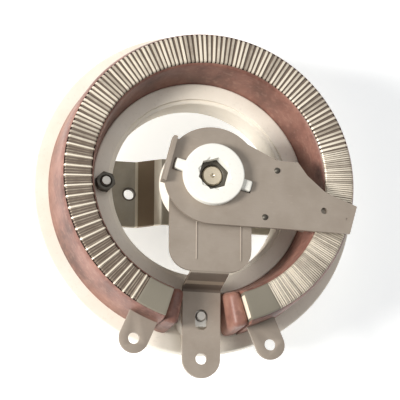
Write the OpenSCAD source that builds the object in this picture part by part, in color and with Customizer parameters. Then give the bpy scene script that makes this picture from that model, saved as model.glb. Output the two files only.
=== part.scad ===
// Panel-mount disc rheostat: a C-shaped ceramic core wound with resistance wire, bonded with
// enamel to a ceramic base, and wiped by an arm on a bushed shaft. Millimetres, +Z to the rear.
// The origin is on the shaft axis, in the plane of the bracket's mounting face.

/* [Ceramic base] */
// Outside diameter of the base
base_d = 130; // [124:1:140]
// Diameter of the hole through the base
base_hole_d = 70; // [64:1:71]
// Thickness of the rim that carries the core
rim_t = 7.5; // [5:0.5:10]
// Rounding of the rim's front edge
rim_round = 3; // [1:0.5:4]
// Outside diameter of the collar inside the core
collar_d = 86; // [84:0.5:87]
// Height of the collar's land above the front face
collar_h = 16.4; // [14:0.2:18]
// Width of the step round the hole at the rear
lip_w = 1.6; // [0.8:0.2:2.4]
// Depth of the step round the hole at the rear
lip_h = 1.2; // [0.6:0.2:3]
// Width of the pad under the centre terminal
pad_w = 14.6; // [12:0.2:15.4]

/* [Core] */
// Inside diameter of the wound core
core_in_d = 95.8; // [95:0.2:97]
// Outside diameter of the wound core
core_out_d = 114.2; // [110:0.2:116]
// Height of the core
core_h = 25; // [20:0.5:30]
// Chamfer along the core's edges
core_chamfer = 0.8; // [0.4:0.2:2]
// Half of the angle left open between the core's two ends
core_gap = 17.3; // [16:0.1:20]

/* [Winding] */
// Thickness of the resistance ribbon
wire_t = 1; // [0.6:0.1:1.2]
// Ribbon width in the coarse section
coarse_w = 1; // [0.6:0.1:1.6]
// Ribbon width in the middle section
medium_w = 0.9; // [0.5:0.1:1.2]
// Ribbon width in the fine section
fine_w = 0.5; // [0.3:0.05:0.6]
// Turns in the coarse section
coarse_turns = 17; // [12:1:24]
// Turns in the middle section
medium_turns = 76; // [50:1:90]
// Turns in the fine section
fine_turns = 76; // [50:1:84]
// Arc of the coarse section
coarse_arc = 73; // [60:1:90]
// Arc of the fine section
fine_arc = 76; // [72:1:90]

/* [Enamel] */
// Thickness of the enamel walls at the track
enamel_t = 1; // [0.8:0.1:1.6]
// Thickness of the enamel that beds the core on the rim
enamel_bed = 1; // [0.6:0.1:2]
// How far the enamel stops short of the wiped track
enamel_below = 0.6; // [0.3:0.1:1.4]
// Arc of the enamel cap on each end of the core
cap_arc = 6.3; // [4:0.1:6.6]
// How far the end caps lie below the wiped track
cap_drop = 4.6; // [2:0.2:8]

/* [End terminals] */
// Arc of the metal band on each end of the winding
band_arc = 12.4; // [12.4:0.1:14]
// Width of the solder lugs
lug_w = 11.8; // [9:0.2:11.8]
// Thickness of the solder lugs
lug_t = 1.2; // [0.8:0.1:2]
// Diameter of the lug holes
lug_hole_d = 4.5; // [3:0.1:5.5]
// Distance of the lug holes from the shaft axis
lug_reach = 68.6; // [67:0.2:74]
// Height of the lugs above the rim
lug_rise = 15; // [6:0.5:18]

/* [Centre terminal] */
// Width of the centre terminal strip
strip_w = 15.2; // [14:0.2:16]
// Thickness of the centre terminal and collector sheet
strip_t = 1.5; // [1:0.1:2]
// Diameter of the hole in the centre terminal
strip_hole_d = 4.5; // [3:0.1:6]
// Distance of that hole from the shaft axis
strip_reach = 69.5; // [68:0.5:76]
// Length of the adjusting slot
slot_l = 8.2; // [6:0.2:10]
// Width of the adjusting slot
slot_w = 5; // [4.4:0.1:5.6]
// Distance of the centre terminal's screw from the shaft axis
screw_reach = 52.4; // [50:0.2:54]
// Width of the collector plate
collector_w = 32.8; // [30:0.2:36]
// Reach of the collector plate towards the centre terminal
collector_reach = 37.6; // [36:0.2:38]
// Rounding of the collector plate's corners
collector_round = 9; // [6:0.5:9.5]
// How far the leg leans out between the collector and the strip
leg_lean = 3.6; // [1:0.2:5]
// Height of the weld nut under the strip
weld_nut_h = 4; // [3:0.2:6]
// Width across flats of the weld nut
weld_nut_af = 8; // [7:0.2:10]
// Diameter of the screw head's recess in the base
recess_d = 7; // [6.9:0.1:8]
// Depth of that recess
recess_depth = 4.5; // [3.4:0.1:6]
// Height of the terminal screw's head
screw_head_h = 2.6; // [1.6:0.1:3]
// Width of the slot in that head
driver_w = 1; // [0.6:0.1:1.4]
// Depth of the slot in that head
driver_depth = 0.9; // [0.5:0.1:1.4]

/* [Bracket] */
// Width of the bracket strip
bracket_w = 26.6; // [22:0.2:30]
// Thickness of the bracket strip
bracket_t = 2; // [1.5:0.1:3]
// Radius of the bracket's rounded ends from the shaft axis
bracket_r = 45; // [43.5:0.5:50]
// Half of the distance between the outer bends
bend_out = 22; // [19:0.5:22]
// Half of the distance between the inner bends
bend_in = 13; // [11:0.5:15]
// How far the middle of the bracket is set back
set_back = 8; // [5:0.5:10]
// Tapping diameter of the panel screw holes
panel_hole_d = 4.2; // [3.3:0.1:4.6]
// Distance between the panel screw holes
panel_pitch = 50; // [50:0.5:56]
// Distance between the screws that hold the bracket
screw_pitch = 77; // [76.5:0.1:79]
// Diameter of the machine screws
screw_d = 4; // [3:0.1:4]
// Diameter of the countersunk screw heads
csk_d = 8; // [7:0.1:8.5]
// Width across flats of the machine nuts
nut_af = 7; // [6.6:0.1:7.2]
// Height of the machine nuts
nut_h = 3.2; // [2.4:0.1:4]
// How far the machine screws stand above their nuts
screw_tail = 1; // [0.2:0.1:3]
// Length of the cross recess in the countersunk heads
cross_l = 4.4; // [3:0.1:5]
// Width of the cross recess
cross_w = 0.9; // [0.6:0.1:1.2]
// Depth of the cross recess
cross_depth = 1; // [0.6:0.1:1.4]
// Width of the split in the lock washers
split_w = 0.8; // [0.4:0.1:1.4]
// Thickness of the lock washers
washer_t = 0.9; // [0.6:0.1:1.4]

/* [Shaft] */
// Diameter of the shaft
shaft_d = 8; // [7:0.1:8.2]
// Length of shaft in front of the mounting face
shaft_reach = 18.7; // [10:0.1:40]
// Chamfer on the shaft's ends
shaft_chamfer = 0.5; // [0.3:0.1:1]
// Diameter of the bushing's flange
flange_d = 14.6; // [13:0.2:18]
// Thickness of the bushing's flange
flange_t = 2; // [1:0.1:3]
// Diameter of the bushing's barrel
barrel_d = 11; // [10.6:0.1:12]
// How far the bushing's barrel is swaged out behind the bracket
swage_h = 1.6; // [0.8:0.1:2]
// Width of the bushing's locating ear
ear_w = 3.6; // [2:0.2:5]
// Reach of the locating ear from the axis
ear_reach = 9.8; // [9:0.1:12]
// Thickness of the thrust washer
thrust_t = 0.5; // [0.3:0.1:1]
// Outside diameter of the thrust washer
thrust_d = 12; // [10:0.2:14]
// Thickness of the retaining clip
clip_t = 0.8; // [0.6:0.1:1.2]
// Outside diameter of the retaining clip
clip_d = 11; // [10:0.2:13]
// Depth of the clip's groove in the shaft
groove_depth = 0.6; // [0.4:0.1:1]

/* [Spring and cup] */
// Diameter of the spring wire
spring_wire = 1.6; // [1:0.1:1.8]
// Outside diameter of the spring
spring_d = 17; // [16.6:0.1:18]
// Working turns of the spring
spring_turns = 5; // [3:1:7]
// Outside diameter of the insulating cup's rim
cup_rim_d = 34.4; // [30:0.2:38]
// Outside diameter of the insulating cup's body
cup_d = 27.4; // [25:0.2:29]
// Length of the insulating cup
cup_l = 15.5; // [14:0.5:18]
// Wall of the insulating cup
cup_wall = 2; // [1.2:0.1:2.6]
// Thickness of the cup's floor
cup_floor = 1.7; // [1:0.1:3]
// Height of the cup's flared rim
cup_rim_h = 1.2; // [0.8:0.1:2]
// How far below the cup's floor its flare starts
cup_neck = 3; // [2:0.1:4]
// Room between the hub's barrel and the cup's floor
cup_clear = 2; // [1:0.1:2.4]

/* [Hub] */
// Diameter of the hub's rear flange
hub_d = 24.2; // [22:0.2:28]
// Height of the hub's rear flange
hub_h = 3.5; // [3:0.1:6]
// Diameter of the hub's barrel
hub_barrel_d = 18.8; // [17.6:0.1:19.4]
// Reach of the two keys from the axis
key_reach = 15.8; // [14:0.2:17]
// Width of the keys
key_w = 4.3; // [3:0.1:6]
// How far the keys stand above the arm
key_h = 2; // [0.5:0.1:2.8]
// Width across flats of the nut in the hub
hub_nut_af = 11.4; // [10.6:0.1:12]
// Height of the nut in the hub
hub_nut_h = 4; // [3:0.1:4.2]
// Depth of the hub's socket
socket_depth = 8.3; // [7:0.1:9]
// Floor left under the hub's socket
hub_floor = 2; // [1:0.1:2.6]
// How far the shaft's end lies inside the socket
shaft_sink = 4; // [2:0.1:4.2]

/* [Wiper] */
// Thickness of the arm
arm_t = 1.5; // [1:0.1:2]
// Length of the arm from the axis to its tip
arm_l = 58.8; // [57.5:0.1:60]
// Width of the arm's tip
tip_w = 11.4; // [9:0.2:14]
// Radius of the arm's root
root_r = 19.3; // [18:0.1:21]
// Distance of the arm's tail from the axis
tail_l = 19.2; // [17:0.1:21]
// Height of the flange along the tail
tail_h = 3.4; // [1:0.1:6]
// Length of the tail flange on one side of the axis
tail_low = 8.5; // [6:0.1:9.5]
// Length of the tail flange on the other side of the axis
tail_high = 10; // [6:0.1:11]
// Diameter of the hole near the tip
arm_hole_d = 2.6; // [1.5:0.1:3.4]
// Distance of that hole from the axis
arm_hole_reach = 46.5; // [44:0.1:47]
// Width of the stop ears along the arm
ear_l = 3; // [2:0.1:4]
// How far the stop ears reach below the collector plate
ear_drop = 3.5; // [2:0.1:3.6]
// Angle of the arm from +X as stored
arm_angle = -14.5; // [-40:0.5:60]
// Angle from the centre terminal at which the arm meets its stop
stop_angle = 24; // [23:0.5:26]
// Thickness of the slip washer
slip_t = 1.45; // [1.2:0.05:1.8]
// Diameter of the slip washer
slip_d = 31; // [27:0.2:34]
// Thickness of the leaf spring
leaf_t = 0.4; // [0.2:0.05:0.6]
// Radial length of the brush
brush_l = 9; // [6:0.2:10]
// Width of the brush
brush_w = 7; // [4:0.2:9]
// Height of the brush
brush_h = 2.45; // [2:0.05:4]
// Diameter of the rivets
rivet_d = 2; // [1.5:0.1:3]
// Diameter of the rivets' heads
rivet_head_d = 3.3; // [3:0.1:4]
// Height of the rivets' heads behind the arm
rivet_head_h = 0.5; // [0.3:0.1:0.8]
// Distance of the rivets from the shaft axis, along the arm
rivet_reach = 24.3; // [24:0.1:26]
// Distance of each rivet from the arm's middle line
rivet_side = 9.8; // [8:0.1:10.4]

/* [Clearances] */
// Gap between pieces that are bonded or pressed together
fit = 0.05; // [0.02:0.01:0.1]
// Radial clearance of the turning shaft
run_gap = 0.05; // [0.02:0.01:0.1]
// Gap under the brush and under the slip washer
slide_gap = 0.05; // [0.02:0.01:0.1]
// Radial room round the hub's barrel
hub_room = 0.5; // [0.3:0.1:0.8]
// Radial room round a machine screw
screw_room = 0.25; // [0.1:0.05:0.4]
// Gap left between the stop ears and the leg
stop_gap = 0.2; // [0.1:0.05:0.3]
// Room between the stop ears and the collector plate's end
ear_room = 1.3; // [1:0.1:2]

/* [Hidden] */
$fn = 96;
eps = 0.01;
base_r = base_d / 2;
hole_r = base_hole_d / 2;
collar_r = collar_d / 2;
shaft_r = shaft_d / 2;
screw_r = screw_d / 2;

// levels along the shaft, from the front to the rear
z_face = bracket_t;
z_rim = z_face + rim_t;
z_land = z_face + collar_h;
z_wound = z_rim + enamel_bed;
z_core = z_wound + wire_t + fit;
z_track = z_core + core_h + fit + wire_t;
z_coat = z_track - enamel_below;
z_cap = z_track - cap_drop;
z_arm = z_track + slide_gap + brush_h + leaf_t;
z_arm_top = z_arm + arm_t;
z_collector_top = z_arm - slip_t - slide_gap;
z_collector = z_collector_top - strip_t;
z_strip = z_land + weld_nut_h;
z_hub_top = z_arm_top + hub_h;
z_hub = z_hub_top - socket_depth - hub_floor;
z_shaft_end = z_hub_top - shaft_sink;
z_middle = set_back;
z_middle_top = set_back + bracket_t;
z_cup_socket = z_hub - cup_clear;
z_cup_floor = z_cup_socket - cup_floor;
z_cup_rim = z_collector - cup_l;
z_flange = z_middle - flange_t;
z_thrust = z_flange - fit - thrust_t;
z_clip = z_thrust - clip_t;

// radii of the wound core
core_in = core_in_d / 2;
core_out = core_out_d / 2;
wound_in = core_in - fit - wire_t;
wound_out = core_out + fit + wire_t;
coat_in = wound_in - fit;
coat_out = wound_out + fit;
track_r = (core_in + core_out) / 2;

// angles round the core, from the centre terminal
wire_from = core_gap + band_arc;
medium_arc = 360 - 2 * wire_from - coarse_arc - fine_arc;
lug_angle = core_gap + band_arc / 2;
lug_z = z_rim + lug_rise;

// the ears under the arm meet the leg at the stop angle
ear_in = collector_reach + ear_room;
stop_half = (ear_in * sin(stop_angle) - strip_w / 2 - stop_gap) / cos(stop_angle);
wing = [[23.3, 13.7], [31.5, 15.6], [36.5, 11.6], [45, 7.4]];

// a body of revolution over an arc, counted from the centre terminal
module arc_of(from, span) {
    rotate([0, 0, from - 90]) rotate_extrude(angle = span) children();
}

module ring(r_out, r_in, z, h) {
    difference() {
        translate([0, 0, z]) cylinder(r = r_out, h = h);
        translate([0, 0, z - 1]) cylinder(r = r_in, h = h + 2);
    }
}

module hexagon(af, z, h) {
    translate([0, 0, z]) cylinder(d = af / cos(30), h = h, $fn = 6);
}

// points beside a bent line, half a thickness away, mitred at the bends
function unit(v) = v / norm(v);
function beside(line, t) = [for (i = [0:len(line) - 1])
    let (j = max(i, 1), k = min(i, len(line) - 2),
        into = unit(line[j] - line[j - 1]), away = unit(line[k + 1] - line[k]),
        turned = into + away)
    line[i] + t / 2 / (1 + into * away) * [-turned[1], turned[0]]];

// sheet metal of thickness t and width w, bent along a line of [across, height] points
module bent_sheet(line, t, w) {
    back = beside(line, -t);
    rotate([90, 0, 0]) linear_extrude(w, center = true)
        polygon(concat(beside(line, t), [for (i = [len(line) - 1:-1:0]) back[i]]));
}

module at_screws() {
    for (side = [-1, 1]) translate([side * screw_pitch / 2, 0, 0]) children();
}

module base_profile() {
    translate([hole_r, z_face]) square([base_r - rim_round - hole_r, rim_t]);
    translate([hole_r, z_face + rim_round]) square([base_r - hole_r, rim_t - rim_round]);
    translate([base_r - rim_round, z_face + rim_round]) circle(r = rim_round);
    translate([hole_r + lip_w, z_face]) square([collar_r - hole_r - lip_w, collar_h]);
    translate([hole_r, z_face]) square([collar_r - hole_r, collar_h - lip_h]);
}

module ceramic_base() {
    color("antiquewhite") difference() {
        union() {
            rotate_extrude() base_profile();
            translate([-pad_w / 2, -screw_reach, z_rim - 1])
                cube([pad_w, screw_reach - collar_r + 1, collar_h - rim_t + 1]);
            translate([0, -screw_reach, z_rim - 1]) cylinder(d = pad_w, h = collar_h - rim_t + 1);
        }
        at_screws() cylinder(r = screw_r + screw_room, h = z_land + 1);
        translate([0, -screw_reach, 0]) cylinder(r = screw_r + screw_room, h = z_land + 1);
        translate([0, -screw_reach, 0]) cylinder(d = recess_d, h = z_face + recess_depth);
    }
}

module core_section() {
    c = core_chamfer;
    polygon([[core_in + c, z_core], [core_out - c, z_core], [core_out, z_core + c],
        [core_out, z_core + core_h - c], [core_out - c, z_core + core_h],
        [core_in + c, z_core + core_h], [core_in, z_core + core_h - c], [core_in, z_core + c]]);
}

module core_former() {
    color("linen") arc_of(core_gap, 360 - 2 * core_gap) core_section();
}

// one turn of ribbon round the core
module turn(w) {
    difference() {
        translate([wound_in, -w / 2, z_wound])
            cube([wound_out - wound_in, w, z_track - z_wound]);
        translate([core_in - fit, -w, z_wound + wire_t])
            cube([core_out - core_in + 2 * fit, 2 * w, z_track - z_wound - 2 * wire_t]);
    }
}

module winding(from, span, turns, w) {
    step = span / turns;
    for (i = [0:turns - 1]) rotate([0, 0, from - 90 + (i + 0.5) * step]) turn(w);
}

module winding_coarse() {
    color("silver") winding(-wire_from - coarse_arc, coarse_arc, coarse_turns, coarse_w);
}

module winding_medium() {
    color("silver") winding(wire_from + fine_arc, medium_arc, medium_turns, medium_w);
}

module winding_fine() {
    color("silver") winding(wire_from, fine_arc, fine_turns, fine_w);
}

// section of the enamel: a bed on the rim and a wall up each side of the winding
module coat_section() {
    polygon([[collar_r + fit, z_rim], [coat_out + enamel_t, z_rim], [coat_out + enamel_t, z_coat],
        [coat_out, z_coat], [coat_out, z_wound], [coat_in, z_wound], [coat_in, z_coat],
        [coat_in - enamel_t, z_coat], [collar_r + fit, z_land]]);
}

// solid enamel over each end of the core
module cap_section() {
    translate([collar_r + fit, z_rim])
        square([coat_out + enamel_t - collar_r - fit, z_cap - z_rim]);
}

module enamel_coat() {
    color("sienna") difference() {
        union() {
            arc_of(core_gap, 360 - 2 * core_gap) coat_section();
            arc_of(core_gap - cap_arc, cap_arc - fit) cap_section();
            arc_of(-core_gap + fit, cap_arc - fit) cap_section();
        }
        for (side = [-1, 1]) lug_plate(side, fit);
    }
}

// a lug's flat plate, or the window that it passes through
module lug_plate(side, room) {
    rotate([0, 0, side * lug_angle - 90]) {
        translate([wound_out - wire_t, -lug_w / 2 - room, lug_z - room])
            cube([lug_reach - wound_out + wire_t, lug_w + 2 * room, lug_t + 2 * room]);
        translate([lug_reach, 0, lug_z - room]) cylinder(d = lug_w + 2 * room, h = lug_t + 2 * room);
    }
}

// a band round the core with its solder lug
module end_terminal(side) {
    from = side > 0 ? core_gap : -core_gap - band_arc;
    color("tan") difference() {
        union() {
            arc_of(from, band_arc) difference() {
                translate([wound_in, z_wound])
                    square([wound_out - wound_in, z_track - z_wound]);
                translate([core_in - fit, z_wound + wire_t])
                    square([core_out - core_in + 2 * fit, z_track - z_wound - 2 * wire_t]);
            }
            difference() {
                lug_plate(side, 0);
                translate([0, 0, lug_z - 1]) cylinder(r = core_out + fit, h = lug_t + 2);
            }
        }
        rotate([0, 0, side * lug_angle - 90]) translate([lug_reach, 0, lug_z - 1])
            cylinder(d = lug_hole_d, h = lug_t + 2);
    }
}

module end_terminal_left() end_terminal(-1);

module end_terminal_right() end_terminal(1);

module collector_plate() {
    r = collector_round;
    w = collector_w / 2;
    linear_extrude(strip_t) difference() {
        union() {
            circle(d = collector_w);
            translate([-w, r - collector_reach]) square([2 * w, collector_reach - r]);
            translate([r - w, -collector_reach]) square([2 * w - 2 * r, r]);
            for (side = [-1, 1])
                translate([side * (w - r), r - collector_reach]) circle(r = r);
        }
        circle(d = hub_barrel_d + 2 * hub_room);
    }
}

module centre_terminal() {
    t = strip_t;
    z_sheet = z_strip + t / 2;
    foot = collector_reach + leg_lean;
    color("tan") difference() {
        union() {
            translate([0, 0, z_collector]) collector_plate();
            rotate([0, 0, -90]) bent_sheet([[collector_reach - 2, z_collector + t / 2],
                [collector_reach, z_collector + t / 2], [foot, z_sheet], [strip_reach, z_sheet]],
                t, strip_w);
            translate([0, -strip_reach, z_strip]) cylinder(d = strip_w, h = t);
        }
        translate([0, -strip_reach, z_strip - 1]) cylinder(d = strip_hole_d, h = t + 2);
        slot_run = slot_l - slot_w;
        translate([0, -screw_reach, z_strip - 1]) cylinder(d = slot_w, h = t + 2);
        translate([0, -screw_reach - slot_run, z_strip - 1]) cylinder(d = slot_w, h = t + 2);
        translate([-slot_w / 2, -screw_reach - slot_run, z_strip - 1])
            cube([slot_w, slot_run, t + 2]);
    }
}

module weld_nut() {
    color("silver") translate([0, -screw_reach, 0]) difference() {
        hexagon(weld_nut_af, z_land, weld_nut_h);
        translate([0, 0, z_land - 1]) cylinder(r = screw_r + fit, h = weld_nut_h + 2);
    }
}

module centre_screw() {
    z_head = z_face + recess_depth - screw_head_h;
    color("silver") translate([0, -screw_reach, 0]) difference() {
        union() {
            translate([0, 0, z_head]) cylinder(r = recess_d / 2 - screw_room, h = screw_head_h);
            translate([0, 0, z_head]) cylinder(r = screw_r, h = z_strip + strip_t - z_head);
        }
        translate([-recess_d / 2, -driver_w / 2, z_head - 1])
            cube([recess_d, driver_w, driver_depth + 1]);
    }
}

module bracket() {
    t = bracket_t;
    far = screw_pitch;
    color("gray") difference() {
        intersection() {
            bent_sheet([[-far, t / 2], [-bend_out, t / 2], [-bend_in, z_middle + t / 2],
                [bend_in, z_middle + t / 2], [bend_out, t / 2], [far, t / 2]], t, bracket_w);
            cylinder(r = bracket_r, h = z_middle_top + 1);
        }
        for (side = [-1, 1]) translate([side * panel_pitch / 2, 0, -1])
            cylinder(d = panel_hole_d, h = t + 2);
        at_screws() translate([0, 0, -eps]) cylinder(d1 = csk_d + 2 * eps, d2 = screw_d, h = t);
        at_screws() translate([0, 0, -1]) cylinder(r = screw_r + screw_room, h = t + 2);
        translate([0, 0, z_middle - 1]) cylinder(d = barrel_d + 2 * fit, h = t + 2);
    }
}

// countersunk screws with a cross recess
module bracket_screws() {
    head_h = bracket_t - 2 * screw_room / 3;
    tail = z_land + washer_t + nut_h + screw_tail;
    color("silver") at_screws() difference() {
        union() {
            cylinder(d1 = csk_d - 2 * fit, d2 = screw_d, h = head_h);
            cylinder(r = screw_r, h = tail);
        }
        for (turned = [0, 90]) rotate([0, 0, turned])
            translate([-cross_l / 2, -cross_w / 2, -1]) cube([cross_l, cross_w, cross_depth + 1]);
    }
}

module bracket_nuts() {
    z = z_land + washer_t;
    color("silver") at_screws() difference() {
        hexagon(nut_af, z, nut_h);
        translate([0, 0, z - 1]) cylinder(r = screw_r + fit, h = nut_h + 2);
    }
}

module lock_washers() {
    color("silver") at_screws() difference() {
        ring(nut_af / 2, screw_r + screw_room, z_land, washer_t);
        translate([0, -split_w / 2, z_land - 1]) cube([nut_af, split_w, washer_t + 2]);
    }
}

module bushing() {
    color("peru") difference() {
        union() {
            translate([0, 0, z_flange]) cylinder(d = flange_d, h = flange_t);
            translate([0, 0, z_flange]) cylinder(d = barrel_d, h = flange_t + bracket_t + swage_h);
            translate([-ear_w / 2, -ear_reach, z_middle - 1]) cube([ear_w, ear_reach, 1]);
        }
        translate([0, 0, z_flange - 1])
            cylinder(r = shaft_r + run_gap, h = flange_t + bracket_t + swage_h + 2);
    }
}

// wire swept along a coil whose end turns lie close, as a ground spring has
function coil_height(t) =
    let (rise = z_cup_floor - z_middle_top - 2 * spring_wire - 2 * fit,
        s = (t - 1) / spring_turns)
    z_middle_top + fit + spring_wire / 2
        + (t < 1 ? t * spring_wire * 0.5
        : t > spring_turns + 1 ? rise + spring_wire * (0.5 + 0.5 * (t - spring_turns - 1))
        : spring_wire * 0.5 + s * rise);

module coil_spring() {
    sides = 8;
    steps = 20;
    last = (spring_turns + 2) * steps;
    r = (spring_d - spring_wire) / 2;
    points = [for (i = [0:last]) let (t = i / steps) for (j = [0:sides - 1])
        let (a = 360 * j / sides, q = r + spring_wire / 2 * cos(a))
        [q * cos(360 * t), q * sin(360 * t), coil_height(t) + spring_wire / 2 * sin(a)]];
    skin = [for (i = [0:last - 1]) for (j = [0:sides - 1])
        let (k = (j + 1) % sides)
        [i * sides + j, i * sides + k, (i + 1) * sides + k, (i + 1) * sides + j]];
    start = [[for (j = [sides - 1:-1:0]) j]];
    end = [[for (j = [0:sides - 1]) last * sides + j]];
    color("dimgray") polyhedron(points = points, faces = concat(skin, start, end));
}

module insulating_cup() {
    body_r = cup_d / 2;
    rim_r = cup_rim_d / 2;
    z_neck = z_cup_floor - cup_neck;
    color("antiquewhite") difference() {
        rotate_extrude() polygon([[0, z_cup_rim], [rim_r, z_cup_rim], [rim_r, z_cup_rim + cup_rim_h],
            [body_r, z_neck], [body_r, z_collector], [0, z_collector]]);
        rotate_extrude() polygon([[0, z_cup_rim - 1], [rim_r - cup_wall, z_cup_rim - 1],
            [rim_r - cup_wall, z_cup_rim], [body_r - cup_wall, z_neck],
            [body_r - cup_wall, z_cup_floor], [0, z_cup_floor]]);
        translate([0, 0, z_cup_socket]) cylinder(d = hub_barrel_d + 2 * hub_room, h = 20);
        translate([0, 0, z_cup_floor - 1]) cylinder(r = shaft_r + hub_room, h = cup_floor + 2);
    }
}

module shaft() {
    c = shaft_chamfer;
    color("goldenrod") difference() {
        rotate_extrude() polygon([[0, -shaft_reach], [shaft_r - c, -shaft_reach],
            [shaft_r, c - shaft_reach], [shaft_r, z_shaft_end - c], [shaft_r - c, z_shaft_end],
            [0, z_shaft_end]]);
        ring(shaft_r + 1, shaft_r - groove_depth, z_clip, clip_t);
        for (z = [-shaft_reach, z_shaft_end])
            translate([0, 0, z]) rotate_extrude() polygon([[0, -1], [1, 0], [0, 1]]);
    }
}

module retaining_clip() {
    color("dimgray") difference() {
        ring(clip_d / 2, shaft_r - groove_depth + fit, z_clip + fit / 2, clip_t - fit);
        translate([-shaft_r + groove_depth, 0, z_clip - 1])
            cube([2 * (shaft_r - groove_depth), clip_d, clip_t + 2]);
    }
}

module thrust_washer() {
    color("peru") ring(thrust_d / 2, shaft_r + fit, z_thrust, thrust_t);
}

module hub() {
    color("white") rotate([0, 0, arm_angle]) difference() {
        union() {
            translate([0, 0, z_arm_top]) cylinder(d = hub_d, h = hub_h);
            translate([0, 0, z_hub]) cylinder(d = hub_barrel_d, h = z_hub_top - z_hub);
            intersection() {
                translate([-key_reach, -key_w / 2, z_arm])
                    cube([2 * key_reach, key_w, arm_t + key_h]);
                translate([0, 0, z_arm]) cylinder(r = key_reach, h = arm_t + key_h);
            }
        }
        hexagon(hub_nut_af + 2 * fit, z_hub_top - socket_depth, socket_depth + 1);
        translate([0, 0, z_hub - 1]) cylinder(r = shaft_r + fit, h = hub_floor + 2);
    }
}

module hub_nut() {
    color("dimgray") rotate([0, 0, arm_angle]) difference() {
        hexagon(hub_nut_af, z_hub + hub_floor, hub_nut_h);
        translate([0, 0, z_hub + hub_floor - 1]) cylinder(r = shaft_r + fit, h = hub_nut_h + 2);
    }
}

// outline of the arm, pointing along +X
module arm_outline() {
    corner = [arm_l, -tip_w / 2];
    touch = -acos(root_r / norm(corner)) + atan2(corner[1], corner[0]);
    circle(r = root_r);
    translate([-tail_l, -tail_low]) square([tail_l, tail_low + tail_high]);
    polygon([[0, 0], root_r * [cos(touch), sin(touch)], corner, [arm_l, tip_w / 2],
        wing[3], wing[2], wing[1], wing[0], root_r * [cos(60), sin(60)]]);
}

module wiper_arm() {
    color("tan") rotate([0, 0, arm_angle]) {
        difference() {
            translate([0, 0, z_arm]) linear_extrude(arm_t) arm_outline();
            translate([0, 0, z_arm - 1]) cylinder(r = hub_barrel_d / 2 + fit, h = arm_t + 2);
            translate([-key_reach - fit, -key_w / 2 - fit, z_arm - 1])
                cube([2 * (key_reach + fit), key_w + 2 * fit, arm_t + 2]);
            translate([arm_hole_reach, 0, z_arm - 1]) cylinder(d = arm_hole_d, h = arm_t + 2);
            for (side = [-1, 1]) translate([rivet_reach, side * rivet_side, z_arm - 1])
                cylinder(d = rivet_d + 2 * fit, h = arm_t + 2);
        }
        translate([-tail_l, -tail_low, z_arm]) cube([arm_t, tail_low + tail_high, arm_t + tail_h]);
        for (side = [-1, 1])
            translate([ear_in, side * (stop_half - arm_t / 2) - arm_t / 2, z_collector - ear_drop])
                cube([ear_l, arm_t, z_arm - z_collector + ear_drop + arm_t / 2]);
    }
}

module slip_washer() {
    color("peru") ring(slip_d / 2, hub_barrel_d / 2 + hub_room, z_arm - slip_t, slip_t);
}

module leaf_spring() {
    half = rivet_side + 2.4;
    neck = stop_half - arm_t - 0.3;
    color("gray") rotate([0, 0, arm_angle]) difference() {
        translate([0, 0, z_arm - leaf_t]) linear_extrude(leaf_t)
            polygon([[rivet_reach - 4, -half + 2], [rivet_reach - 2, -half], [rivet_reach + 3, -half],
                [ear_in - 2, -neck], [arm_l - 0.6, -brush_w / 2], [arm_l - 0.6, brush_w / 2],
                [ear_in - 2, neck], [rivet_reach + 3, half], [rivet_reach - 2, half],
                [rivet_reach - 4, half - 2]]);
        for (side = [-1, 1]) translate([rivet_reach, side * rivet_side, z_arm - 1])
            cylinder(d = rivet_d + 2 * fit, h = 2);
        translate([0, 0, z_arm - 1]) cylinder(r = slip_d / 2 + 1, h = 2);
    }
}

module leaf_rivets() {
    z = z_arm - leaf_t;
    color("silver") rotate([0, 0, arm_angle]) for (side = [-1, 1])
        translate([rivet_reach, side * rivet_side, 0]) {
            translate([0, 0, z]) cylinder(d = rivet_d, h = leaf_t + arm_t);
            translate([0, 0, z_arm_top]) cylinder(d1 = rivet_head_d, d2 = rivet_d, h = rivet_head_h);
            translate([0, 0, z - leaf_t]) cylinder(d = rivet_head_d, h = leaf_t);
        }
}

module brush() {
    color("dimgray") rotate([0, 0, arm_angle])
        translate([track_r - brush_l / 2, -brush_w / 2, z_track + slide_gap])
            cube([brush_l, brush_w, brush_h]);
}

ceramic_base();
core_former();
winding_coarse();
winding_medium();
winding_fine();
enamel_coat();
end_terminal_left();
end_terminal_right();
centre_terminal();
weld_nut();
centre_screw();
bracket();
bracket_screws();
bracket_nuts();
lock_washers();
bushing();
coil_spring();
insulating_cup();
shaft();
retaining_clip();
thrust_washer();
hub();
hub_nut();
wiper_arm();
slip_washer();
leaf_spring();
leaf_rivets();
brush();
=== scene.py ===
import math
import random

import bmesh
import bpy
from mathutils import Matrix, Vector


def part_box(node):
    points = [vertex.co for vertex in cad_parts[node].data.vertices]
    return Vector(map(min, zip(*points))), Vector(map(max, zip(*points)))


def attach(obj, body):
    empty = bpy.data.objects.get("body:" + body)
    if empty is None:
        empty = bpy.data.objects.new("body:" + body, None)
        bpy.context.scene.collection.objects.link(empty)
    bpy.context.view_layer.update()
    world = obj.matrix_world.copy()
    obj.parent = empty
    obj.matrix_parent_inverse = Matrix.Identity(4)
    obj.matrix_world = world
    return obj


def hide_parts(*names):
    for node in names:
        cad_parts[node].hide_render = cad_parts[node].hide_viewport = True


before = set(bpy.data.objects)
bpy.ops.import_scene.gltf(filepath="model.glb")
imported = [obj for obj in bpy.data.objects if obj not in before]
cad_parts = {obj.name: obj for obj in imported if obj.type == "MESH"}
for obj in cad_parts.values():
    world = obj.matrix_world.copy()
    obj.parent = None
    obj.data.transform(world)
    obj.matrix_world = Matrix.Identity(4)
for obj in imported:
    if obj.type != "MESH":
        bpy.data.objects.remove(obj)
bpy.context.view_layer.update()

# Pieces are modelled in millimetres and set down in metres.
MM = 1000.0


def low(node):
    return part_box(node)[0] * MM


def high(node):
    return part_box(node)[1] * MM


# ---- sizes, from the frame where a node's box gives them -----------------------------------------

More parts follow.
